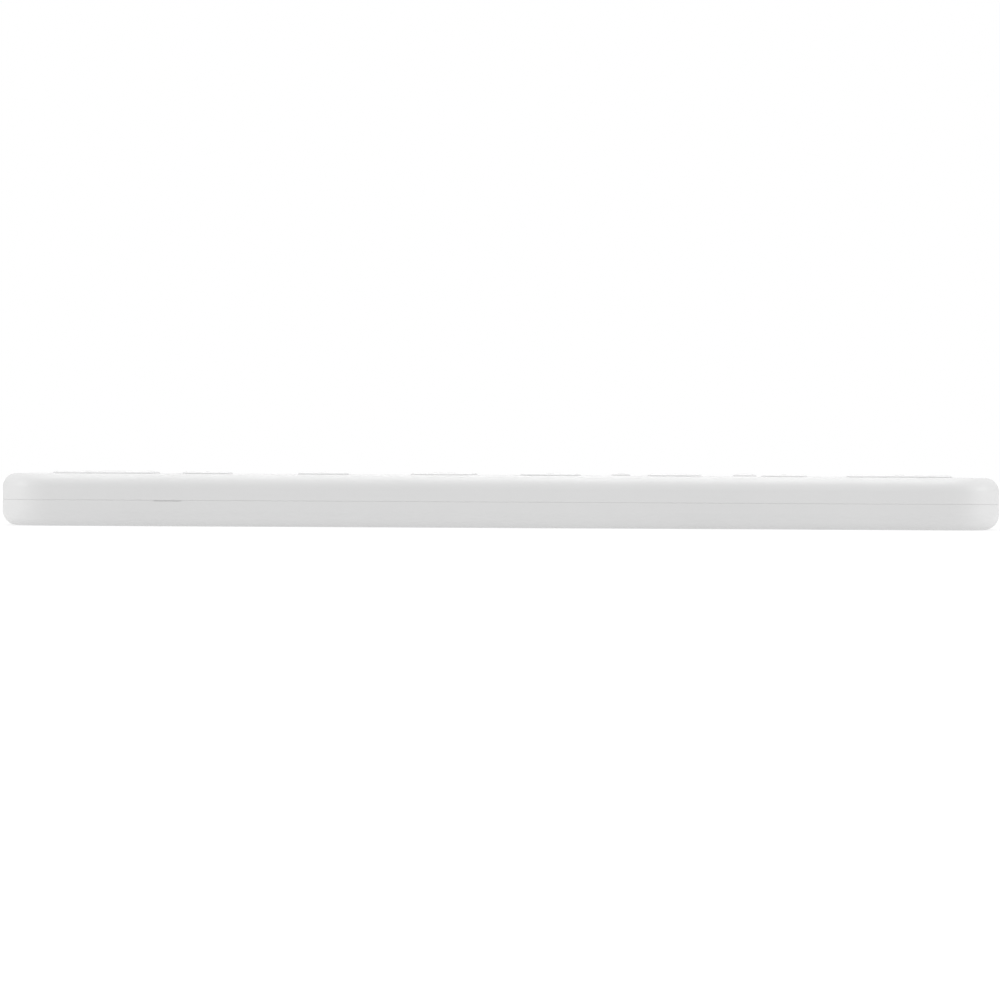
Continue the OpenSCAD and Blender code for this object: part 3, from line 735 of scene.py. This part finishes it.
class MeshMaker:
    """Gathers closed shells into one mesh, in millimetres about a local origin."""

    def __init__(self) -> None:
        """Starts with nothing."""
        self.points: list[tuple[float, float, float]] = []
        self.faces: list[tuple[int, ...]] = []

    def loft(self, outline: Sequence[Point], rings: Sequence[Ring]) -> None:
        """Adds a closed shell through rings of one outline.

        Args:
            outline: The outline that every ring follows, anticlockwise.
            rings: Inset and height of each ring, from the lowest to the highest.
        """
        normals = edge_normals(outline)
        count = len(outline)
        first = len(self.points)
        for inset, z in rings:
            for (x, y), (nx, ny) in zip(outline, normals):
                self.points.append((x - nx * inset, y - ny * inset, z))
        for level in range(len(rings) - 1):
            low = first + level * count
            for i in range(count):
                j = (i + 1) % count
                self.faces.append((low + i, low + j, low + count + j, low + count + i))
        last = first + (len(rings) - 1) * count
        self.faces.append(tuple(range(first + count - 1, first - 1, -1)))
        self.faces.append(tuple(range(last, last + count)))

    def stroke(self, path: Sequence[Point], width: float, z: Ring, closed: bool = False) -> None:
        """Adds a flat line of even width, such as a printed mark.

        Args:
            path: The line's middle.
            width: The line's width.
            z: The lowest and the highest height.
            closed: Whether the line runs back to its start.
        """
        count = len(path)
        first = len(self.points)
        for i, here in enumerate(path):
            back = Vector(here) - Vector(path[i - 1]) if closed or i else None
            ahead = Vector(path[(i + 1) % count]) - Vector(here) if closed or i < count - 1 else None
            sides = [Vector((-d.y, d.x)).normalized() for d in (back, ahead) if d is not None]
            side = sum(sides, Vector((0.0, 0.0))).normalized()
            reach = width / 2 / max(0.5, side.dot(sides[0]))
            for height in z:
                for sign in (reach, -reach):
                    self.points.append((here[0] + side.x * sign, here[1] + side.y * sign, height))
        for i in range(count if closed else count - 1):
            a = first + 4 * i
            b = first + 4 * ((i + 1) % count)
            self.faces += [
                (a + 1, a, b, b + 1),
                (a + 2, a + 3, b + 3, b + 2),
                (a, a + 2, b + 2, b),
                (a + 3, a + 1, b + 1, b + 3),
            ]
        if not closed:
            end = first + 4 * (count - 1)
            self.faces += [(first, first + 1, first + 3, first + 2), (end + 1, end, end + 2, end + 3)]

    def build(self, name: str, at: Matrix, finish: Finish, smooth_deg: float = 40.0) -> bpy.types.Object:
        """Makes the object.

        Args:
            name: The piece's name.
            at: Where the local origin lies and how it is turned, in millimetres.
            finish: The finish of the whole piece.
            smooth_deg: Edges sharper than this stay sharp.

        Returns:
            The new object, with its place in its mesh.
        """
        mesh = bpy.data.meshes.new(name)
        placed = [(at @ Vector(p)) * MM for p in self.points]
        mesh.from_pydata(placed, [], self.faces)
        mesh.validate()
        mesh.polygons.foreach_set("use_smooth", [True] * len(mesh.polygons))
        mesh.set_sharp_from_angle(angle=math.radians(smooth_deg))
        mesh.materials.append(finish.build())
        piece = bpy.data.objects.new(name, mesh)
        bpy.context.scene.collection.objects.link(piece)
        return piece


def rounded_top(top: float, radius: float, crown: float, crown_run: float, steps: int = 5) -> list[Ring]:
    """Gives the rings that roll a key's side over into a crowned top.

    Args:
        top: Height of the crown.
        radius: Radius of the rolled edge.
        crown: Rise of the top from its rolled edge to its flat middle.
        crown_run: Inset at which the flat middle starts.
        steps: Rings on the rolled edge.

    Returns:
        Inset and height of each ring.
    """
    shoulder = top - crown
    rings = []
    for step in range(steps + 1):
        turn = math.pi / 2 * step / steps
        rings.append((radius * (1 - math.cos(turn)), shoulder - radius + radius * math.sin(turn)))
    for share in (0.35, 0.7, 1.0):
        rise = crown * (1 - (1 - share) ** 2)
        rings.append((radius + (crown_run - radius) * share, shoulder + rise))
    return rings


def dress(names: Iterable[str], finish: Finish) -> None:
    """Gives frame nodes a finish.

    Args:
        names: The nodes.
        finish: Their finish.
    """
    for name in names:
        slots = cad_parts[name].data.materials
        slots.clear()
        slots.append(finish.build())


def break_edges(name: str, width: float, segments: int = 2, angle: float = 35.0) -> None:
    """Rounds a frame node's sharp edges with modifiers, which leave its mesh alone.

    Args:
        name: The node.
        width: Width of the rounding, in millimetres.
        segments: Pieces across the rounding.
        angle: Edges sharper than this are rounded.
    """
    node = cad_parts[name]
    weld = node.modifiers.new("weld", "WELD")
    weld.merge_threshold = WELD_REACH
    bevel = node.modifiers.new("edges", "BEVEL")
    bevel.width = width * MM
    bevel.segments = segments
    bevel.limit_method = "ANGLE"
    bevel.angle_limit = math.radians(angle)
    bevel.miter_outer = "MITER_ARC"
    normals = node.modifiers.new("normals", "WEIGHTED_NORMAL")
    normals.keep_sharp = True


def thin_pad(name: str, body: str, at: Point3, size: Point3, corner: float, finish: Finish) -> None:
    """Lays a thin pad with round corners on a node, such as a label or a contact.

    Args:
        name: The pad's name.
        body: The body that it rides on.
        at: Middle of its lower face, in millimetres.
        size: Width, length and thickness.
        corner: Corner radius.
        finish: Its finish.
    """
    maker = MeshMaker()
    edge = size[2] * 0.3
    rings = [(edge, 0.0), (0.0, edge), (0.0, size[2] - edge), (edge, size[2])]
    maker.loft(oblong_outline(size[0], size[1], corner, 4), rings)
    pad = maker.build(name, Matrix.Translation(at), finish)
    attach(pad, body)


# ---------------------------------------------------------------- sub-assemblies


@dataclass
class Casing:
    """The two shells, their rubber feet and the screws under them."""

    edge_break: float = 0.12
    foot_break: float = 0.25

    def build(self) -> None:
        """Dresses the shells and eases the edges of their openings."""
        dress(("front_cover", "rear_cover"), WHITE_SHELL)
        dress(("rubber_feet",), FOOT_RUBBER)
        dress(("case_screws",), BLACK_ZINC)
        for shell in ("front_cover", "rear_cover"):
            break_edges(shell, self.edge_break)
        break_edges("rubber_feet", self.foot_break)
        LOG.info("casing: two shells, feet and screws")


@dataclass
class Screen:
    """The laminate in the window, its foam, glass, ribbon and tray."""

    def build(self) -> None:
        """Dresses each layer of the screen."""
        dress(("display_film",), PAPER)
        dress(("display_gasket",), FOAM)
        dress(("display_backplane",), PANEL_GLASS)
        dress(("display_flex",), RIBBON)
        dress(("chassis_tray",), MAGNESIUM)
        LOG.info("screen: laminate, foam, glass, ribbon and tray")


class Mark(Enum):
    """The generic marks printed on keys."""

    FORWARD = "forward"
    BACK = "back"
    DOT = "dot"
    STANDBY = "standby"
    PLUS = "plus"
    RING = "ring"
    LINES = "lines"
    RETURN = "return"
    TRIANGLE = "triangle"


@dataclass
class KeyPrint:
    """Draws a mark flat on a key's top."""

    line: float = 0.28
    size: float = 0.8
    ink: float = 0.012
    sunk: float = 0.01
    fine: float = 0.8
    dot_r: float = 0.42
    ring_r: float = 1.1
    arc_deg: Point = (125.0, 290.0)

    def draw(self, maker: MeshMaker, mark: Mark, top: float) -> None:
        """Adds one mark about the local origin.

        Args:
            maker: The mesh that gets the mark.
            mark: Which mark.
            top: Height of the key's top.
        """
        z = (top - self.sunk, top + self.ink)
        s = self.size
        if mark in (Mark.FORWARD, Mark.BACK):
            way = 1 if mark is Mark.FORWARD else -1
            maker.stroke([(-0.4 * s * way, -s), (0.5 * s * way, 0), (-0.4 * s * way, s)], self.line, z)
        elif mark is Mark.DOT:
            maker.loft(round_outline(self.dot_r, 24), [(0, z[0]), (0, z[1])])
        elif mark is Mark.STANDBY:
            start, sweep = self.arc_deg
            turns = [math.radians(start + sweep * i / 20) for i in range(21)]
            arc = [(0.8 * s * math.cos(t), 0.8 * s * math.sin(t)) for t in turns]
            maker.stroke(arc, self.line * self.fine, z)
            maker.stroke([(0, 0.25 * s), (0, 1.1 * s)], self.line * self.fine, z)
        elif mark is Mark.PLUS:
            maker.stroke([(-s, 0), (s, 0)], self.line, z)
            for side in (-1, 1):
                maker.stroke([(0, side * self.line / 2), (0, side * s)], self.line, z)
        elif mark is Mark.RING:
            maker.stroke(round_outline(self.ring_r, 36), self.line, z, closed=True)
        elif mark is Mark.LINES:
            for level in (-1, 0, 1):
                y = 0.62 * s * level
                maker.stroke([(-1.1 * s, y), (1.1 * s, y)], self.line, z)
        elif mark is Mark.RETURN:
            maker.stroke([(-0.3 * s, 0.9 * s), (-1.1 * s, 0.2 * s), (-0.3 * s, -0.5 * s)], self.line, z)
            maker.stroke([(-0.85 * s, 0.2 * s), (1.1 * s, 0.2 * s), (1.1 * s, -0.8 * s)], self.line, z)
        elif mark is Mark.TRIANGLE:
            tip = [(0.75 * s, 0.0), (-0.55 * s, 0.8 * s), (-0.55 * s, -0.8 * s)]
            maker.loft(tip, [(0, z[0]), (0, z[1])])


@dataclass
class Key:
    """One key: a crowned cap with rolled edges, the flange that holds it in, and its plunger."""

    name: str
    outline: list[Point]
    mark: Mark
    turn_deg: float = 0.0
    mark_at: Point = (0.0, 0.0)
    centre: Point | None = None
    plunger_at: Point = (0.0, 0.0)
    roll: float = 0.4
    crown: float = 0.1
    crown_run: float = 1.0
    flange: float = 0.7
    flange_t: float = 0.6
    plunger_r: float = 1.2
    plunger_h: float = 0.45
    flange_ease: float = 0.1
    tip_ease: float = 0.15
    ink: float = 0.015
    printer: KeyPrint = field(default_factory=KeyPrint)

    def build(self) -> None:
        """Builds the key over its frame node and prints its mark."""
        low, high = (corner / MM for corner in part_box(self.name))
        centre = self.centre or ((low.x + high.x) / 2, (low.y + high.y) / 2)
        turn = Matrix.Rotation(math.radians(self.turn_deg), 4, "Z")
        at = Matrix.Translation((centre[0], centre[1], 0)) @ turn
        flange_low = low.z + self.plunger_h
        flange_top = flange_low + self.flange_t
        ease = self.flange_ease
        maker = MeshMaker()
        rings = [(-self.flange + ease, flange_low), (-self.flange, flange_low + ease)]
        rings += [(-self.flange, flange_top - ease), (-self.flange + ease, flange_top)]
        rings += [(0.0, flange_top)]
        rings += rounded_top(high.z - self.ink, self.roll, self.crown, self.crown_run)
        maker.loft(self.outline, rings)
        pin_x, pin_y = self.plunger_at
        pin = [(x + pin_x, y + pin_y) for x, y in round_outline(self.plunger_r, 32)]
        tip = self.tip_ease
        maker.loft(pin, [(tip, low.z), (0.0, low.z + tip), (0.0, flange_low + 0.2)])
        cap = maker.build(self.name + "_cap", at, WHITE_KEY)
        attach(cap, self.name)
        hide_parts(self.name)
        ink = MeshMaker()
        self.printer.draw(ink, self.mark, high.z - self.ink)
        printed = at @ Matrix.Translation((*self.mark_at, 0))
        mark = ink.build(self.name + "_mark", printed, KEY_PRINT)
        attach(mark, self.name)
        LOG.info("key %s", self.name)


@dataclass
class ArrowRing:
    """Four arrow keys around a select key, in the bottom bezel."""

    outer: float = 8.0
    inner: float = 3.9
    split: float = 0.4
    ease: float = 0.8
    press_r: float = 6.6
    select_r: float = 3.6

    def wedge(self) -> list[Point]:
        """Gives the outline of the right-hand arrow key.

        Returns:
            Points in anticlockwise order about the ring's centre.
        """

        def on_circle(radius: float, turn: float) -> Point:
            """Gives a point of a circle about the ring's centre."""
            return (radius * math.cos(turn), radius * math.sin(turn))

        def side_turn(radius: float) -> float:
            """Gives the angle at which a wedge's straight side meets a circle."""
            return math.pi / 4 - math.asin(self.split / 2 / radius)

        far, near = side_turn(self.outer), side_turn(self.inner)
        cut_far, cut_near = self.ease / self.outer, self.ease / self.inner
        points: list[Point] = []
        steps = 20
        for i in range(steps + 1):
            points.append(on_circle(self.outer, (far - cut_far) * (2 * i / steps - 1)))
        corner_far, corner_near = on_circle(self.outer, far), on_circle(self.inner, near)
        along = (Vector(corner_near) - Vector(corner_far)).normalized() * self.ease
        start_side = (corner_far[0] + along.x, corner_far[1] + along.y)
        end_side = (corner_near[0] - along.x, corner_near[1] - along.y)
        upper = eased_corner(points[-1], corner_far, start_side)[1:]
        inner_start = on_circle(self.inner, near - cut_near)
        upper += eased_corner(end_side, corner_near, inner_start)
        shares = [1 - 2 * i / steps for i in range(1, steps)]
        inner_arc = [on_circle(self.inner, (near - cut_near) * share) for share in shares]
        lower = [(x, -y) for x, y in reversed(upper)]
        return points + upper + inner_arc + lower

    def build(self) -> None:
        """Builds the five keys about the middle of the select key."""
        low, high = (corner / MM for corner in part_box("select_key"))
        centre = ((low.x + high.x) / 2, (low.y + high.y) / 2)
        turns = {"nav_right_key": 0, "nav_up_key": 90, "nav_left_key": 180, "nav_down_key": 270}
        for name, turn in turns.items():
            Key(
                name,
                self.wedge(),
                Mark.TRIANGLE,
                turn_deg=turn,
                mark_at=((self.outer + self.inner) / 2 + 0.05, 0.0),
                centre=centre,
                plunger_at=(self.press_r, 0.0),
                flange=0.0,
                crown_run=0.6,
                printer=KeyPrint(size=0.85),
            ).build()
        disc = round_outline(self.select_r, 64)
        Key("select_key", disc, Mark.RING, flange=1.0, flange_t=0.5, crown_run=1.6).build()


@dataclass
class Bezel:
    """Every key of the bezels except the arrow ring."""

    corner: float = 1.2
    flange: float = 0.7

    def oblong(self, name: str, mark: Mark) -> Key:
        """Sizes an oblong key from its frame node.

        Args:
            name: The node.
            mark: The mark printed on it.

        Returns:
            The key, ready to build.
        """
        low, high = (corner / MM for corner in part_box(name))
        width = high.x - low.x - 2 * self.flange
        length = high.y - low.y - 2 * self.flange
        return Key(name, oblong_outline(width, length, self.corner), mark, flange=self.flange)

    def round(self, name: str, mark: Mark) -> Key:
        """Sizes a round key from its frame node.

        Args:
            name: The node.
            mark: The mark printed on it.

        Returns:
            The key, ready to build.
        """
        low, high = (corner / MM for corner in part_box(name))
        radius = (high.x - low.x) / 2 - self.flange
        printer = KeyPrint(size=0.7, line=0.22)
        return Key(name, round_outline(radius), mark, flange=self.flange, printer=printer)

    def build(self) -> None:
        """Builds the two columns and the keys beside the ring."""
        self.oblong("page_back_key", Mark.BACK).build()
        self.oblong("page_forward_key", Mark.FORWARD).build()
        self.oblong("left_page_back_key", Mark.BACK).build()
        self.oblong("left_page_forward_key", Mark.FORWARD).build()
        for number in range(1, 7):
            self.oblong(f"soft_key_{number}", Mark.DOT).build()
        self.oblong("menu_key", Mark.LINES).build()
        self.oblong("back_key", Mark.RETURN).build()
        self.round("sleep_button", Mark.STANDBY).build()
        self.round("text_size_button", Mark.PLUS).build()


@dataclass
class SideControls:
    """The volume rocker, the power slider and the switches behind them."""

    edge_break: float = 0.3

    def build(self) -> None:
        """Dresses the controls and eases their edges."""
        dress(("volume_rocker",), WHITE_KEY)
        dress(("power_slider",), GREY_SLIDER)
        dress(("power_switch", "volume_switches"), TIN_STEEL)
        dress(("power_switch_lever",), IVORY_NYLON)
        break_edges("volume_rocker", self.edge_break, 3)
        break_edges("power_slider", 0.12)
        LOG.info("side controls: rocker, slider and switches")


@dataclass
class Sockets:
    """Everything that opens through the bottom end."""

    contact: Point3 = (0.4, 3.6, 0.04)
    contact_pitch: float = 0.8
    contact_count: int = 5
    blade_rise: float = 0.1
    card_label: Point3 = (8.6, 10.0, 0.04)
    card_face: float = 0.8

    def contacts(self) -> None:
        """Lays the gold contacts under the blade of the charging socket."""
        low, high = (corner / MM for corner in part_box("usb_tongue"))
        under = (low.z + high.z) / 2 + self.blade_rise - self.contact[2] * 0.75
        near = low.y + 0.3 + self.contact[1] / 2
        for i in range(self.contact_count):
            x = (low.x + high.x) / 2 + (i - (self.contact_count - 1) / 2) * self.contact_pitch
            thin_pad(f"usb_contact_{i + 1}", "case", (x, near, under), self.contact, 0.1, HARD_GOLD)

    def label(self) -> None:
        """Lays a blank label on the memory card."""
        low, high = (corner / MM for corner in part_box("memory_card"))
        z = low.z + self.card_face - self.card_label[2] * 0.25
        at = ((low.x + high.x) / 2, (low.y + high.y) / 2 + 0.4, z)
        thin_pad("memory_card_label", "memory_card", at, self.card_label, 0.6, LABEL_PAPER)

    def build(self) -> None:
        """Dresses the sockets, the card and the small parts beside them."""
        self.contacts()
        self.label()
        dress(("usb_shell", "card_cage"), TIN_STEEL)
        dress(("usb_tongue", "headphone_jack", "reset_switch"), BLACK_NYLON)
        dress(("memory_card",), CARD_BLACK)
        dress(("reset_plunger", "charge_led"), IVORY_NYLON)
        dress(("light_pipe",), LIGHT_PIPE)
        break_edges("usb_shell", 0.08)
        break_edges("memory_card", 0.12)
        break_edges("headphone_jack", 0.15)
        LOG.info("sockets: charging, headphone, card, reset and light")


@dataclass
class Electronics:
    """Boards, chips, connectors, ribbons and the cell."""

    cell_label: Point3 = (44.0, 30.0, 0.06)

    def label(self) -> None:
        """Lays a blank label on the cell."""
        low, high = (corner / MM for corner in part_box("battery_pack"))
        at = ((low.x + high.x) / 2, (low.y + high.y) / 2, high.z - self.cell_label[2] * 0.25)
        thin_pad("battery_label", "case", at, self.cell_label, 1.5, LABEL_PAPER)

    def build(self) -> None:
        """Dresses the parts inside the case."""
        self.label()
        dress(("main_board", "right_key_board", "left_key_board", "nav_key_board", "power_board"), BOARD)
        dress(("processor_chip", "memory_chip", "board_links"), BLACK_EPOXY)
        dress(("shield_can",), TIN_STEEL)
        dress(("board_components",), CERAMIC)
        dress(("board_connectors",), IVORY_NYLON)
        dress(("battery_pack",), POUCH)
        dress(("battery_wires",), RED_PVC)
        dress(("power_flex",), RIBBON)
        dress(("snap_domes",), SPRING_STEEL)
        dress(("chassis_screws", "board_screws"), NICKEL_STEEL)
        break_edges("battery_pack", 0.5, 3)
        break_edges("shield_can", 0.08)
        LOG.info("electronics: boards, chips, cell, ribbons and screws")


# ---------------------------------------------------------------- studio


@dataclass
class Studio:
    """Pale floor, soft light and the camera that looks at the right side.

    Each lamp has a name, a place and a size in metres, and a power in watts. The floor's glow rises
    from its first strength to its second between the two distances of glow_reach, in metres.
    """

    floor_size: float = 8000.0
    floor_drop: float = 0.05
    distance: float = 900.0
    rise_deg: float = 0.36
    roll_deg: float = 0.3
    frame_share: float = 0.996
    sensor: float = 36.0
    shift: Point = (-0.0008, 0.0018)
    corner: float = 10.0
    floor_tone: str = "969696"
    floor_glow: Point = (0.68, 0.86)
    glow_reach: Point = (0.25, 0.8)
    surround: float = 0.66
    lamps: tuple[tuple[str, Point3, Point, float], ...] = (
        ("overhead", (-0.05, 0.0, 1.2), (0.8, 1.0), 6.2),
        ("left_fill", (-1.1, 0.0, 0.9), (0.5, 0.9), 2.0),
        ("top_end_fill", (0.3, 1.2, 0.4), (0.7, 0.5), 4.2),
        ("bottom_end_fill", (0.3, -1.2, 0.4), (0.7, 0.5), 4.2),
    )

    def floor(self) -> None:
        """Makes a pale glowing table top just under the reader."""
        half = self.floor_size / 2 * MM
        corners = [(-half, -half, 0), (half, -half, 0), (half, half, 0), (-half, half, 0)]
        mesh = bpy.data.meshes.new("floor")
        mesh.from_pydata(corners, [], [(0, 1, 2, 3)])
        floor = bpy.data.objects.new("floor", mesh)
        floor.location.z = -self.floor_drop * MM
        bpy.context.scene.collection.objects.link(floor)
        material = bpy.data.materials.new("pale_table")
        material.use_nodes = True
        tree = material.node_tree
        tree.nodes.clear()
        matt = add_node(tree, "ShaderNodeBsdfDiffuse", {"Color": linear(self.floor_tone)})
        place = add_node(tree, "ShaderNodeTexCoord").outputs["Object"]
        away = add_node(tree, "ShaderNodeVectorMath", {0: place}, operation="LENGTH").outputs["Value"]
        strength = add_node(
            tree,
            "ShaderNodeMapRange",
            {
                "Value": away,
                "From Min": self.glow_reach[0],
                "From Max": self.glow_reach[1],
                "To Min": self.floor_glow[0],
                "To Max": self.floor_glow[1],
            },
        )
        white = (1, 1, 1, 1)
        glow = add_node(tree, "ShaderNodeEmission", {"Color": white, "Strength": strength.outputs[0]})
        both = add_node(tree, "ShaderNodeAddShader", {0: matt.outputs[0], 1: glow.outputs[0]})
        add_node(tree, "ShaderNodeOutputMaterial", {"Surface": both.outputs[0]})
        mesh.materials.append(material)

    def light(self) -> None:
        """Sets a white backdrop, a dimmer even surround and broad soft lamps."""
        world = bpy.data.worlds.new("studio")
        bpy.context.scene.world = world
        world.use_nodes = True
        tree = world.node_tree
        tree.nodes.clear()
        seen = add_node(tree, "ShaderNodeLightPath").outputs["Is Camera Ray"]
        strength = add_node(
            tree,
            "ShaderNodeMapRange",
            {"Value": seen, "To Min": self.surround, "To Max": 1.0},
        )
        surround = add_node(
            tree,
            "ShaderNodeBackground",
            {"Color": (1, 1, 1, 1), "Strength": strength.outputs[0]},
        )
        add_node(tree, "ShaderNodeOutputWorld", {"Surface": surround.outputs[0]})
        for name, place, size, power in self.lamps:
            lamp = bpy.data.lights.new(name, "AREA")
            lamp.shape = "RECTANGLE"
            lamp.size, lamp.size_y = size
            lamp.energy = power
            light = bpy.data.objects.new(name, lamp)
            light.location = place
            light.rotation_euler = (-Vector(place)).to_track_quat("-Z", "Y").to_euler()
            bpy.context.scene.collection.objects.link(light)

    def camera(self) -> None:
        """Places the camera level with the right side, a hair above the face."""
        low, high = CAD_BOX
        near_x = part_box("front_cover")[1].x
        length = high.y - low.y
        middle = Vector((near_x, 0.0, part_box("front_cover")[1].z / 2))
        rise = math.radians(self.rise_deg)
        away = Vector((math.cos(rise), 0.0, math.sin(rise)))
        lens = bpy.data.cameras.new("camera")
        lens.sensor_width = self.sensor
        lens.lens = self.frame_share * self.sensor * (self.distance + self.corner) * MM / length
        lens.shift_x, lens.shift_y = self.shift
        lens.clip_start, lens.clip_end = 0.01, 100.0
        camera = bpy.data.objects.new("camera", lens)
        camera.location = middle + away * self.distance * MM
        look = (-away).to_track_quat("-Z", "Y").to_matrix().to_4x4()
        roll = Matrix.Rotation(math.radians(self.roll_deg), 4, "Z")
        camera.rotation_euler = (look @ roll).to_euler()
        bpy.context.scene.collection.objects.link(camera)
        bpy.context.scene.camera = camera

    def build(self) -> None:
        """Sets up the whole studio."""
        bpy.context.scene.view_settings.view_transform = "Standard"
        self.floor()
        self.light()
        self.camera()
        LOG.info("studio: floor, light and camera")


def main() -> None:
    """Builds every sub-assembly in order."""
    logging.basicConfig(level=logging.INFO, format="%(message)s")
    parts: list[Any] = [
        Casing(),
        Screen(),
        Bezel(),
        ArrowRing(),
        SideControls(),
        Sockets(),
        Electronics(),
        Studio(),
    ]
    for part in parts:
        part.build()


if __name__ == "__main__":
    main()
